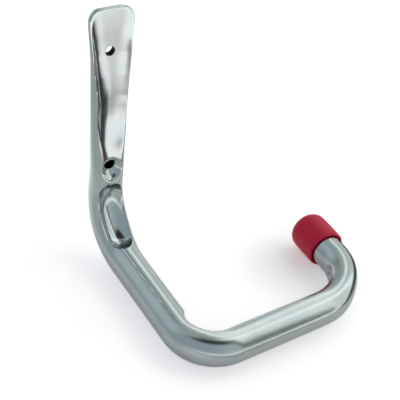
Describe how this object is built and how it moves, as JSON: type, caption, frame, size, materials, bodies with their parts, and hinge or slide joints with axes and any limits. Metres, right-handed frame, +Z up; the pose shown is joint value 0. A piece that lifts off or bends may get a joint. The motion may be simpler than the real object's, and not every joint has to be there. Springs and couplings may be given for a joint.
{
  "type": "bike hook",
  "caption": "Wall hook bent from one steel tube: a pressed leg with two screw holes, an arm, a cross arm and a short returning tip in a push-on end cap.",
  "frame": {"origin": "on the wall plane, midway between the leg's two screw holes", "axes": "+Z up along the leg, -Y out of the wall along the arm, +X along the cross arm"},
  "size_m": [0.146, 0.14, 0.162],
  "materials": {
    "zinc_plate": "bright zinc plating, semi-gloss",
    "red_cap": "soft moulded plastic, semi-gloss"
  },
  "bodies": {
    "root": {"hook_tube": "zinc_plate", "end_cap": "red_cap"}
  },
  "joints": []
}
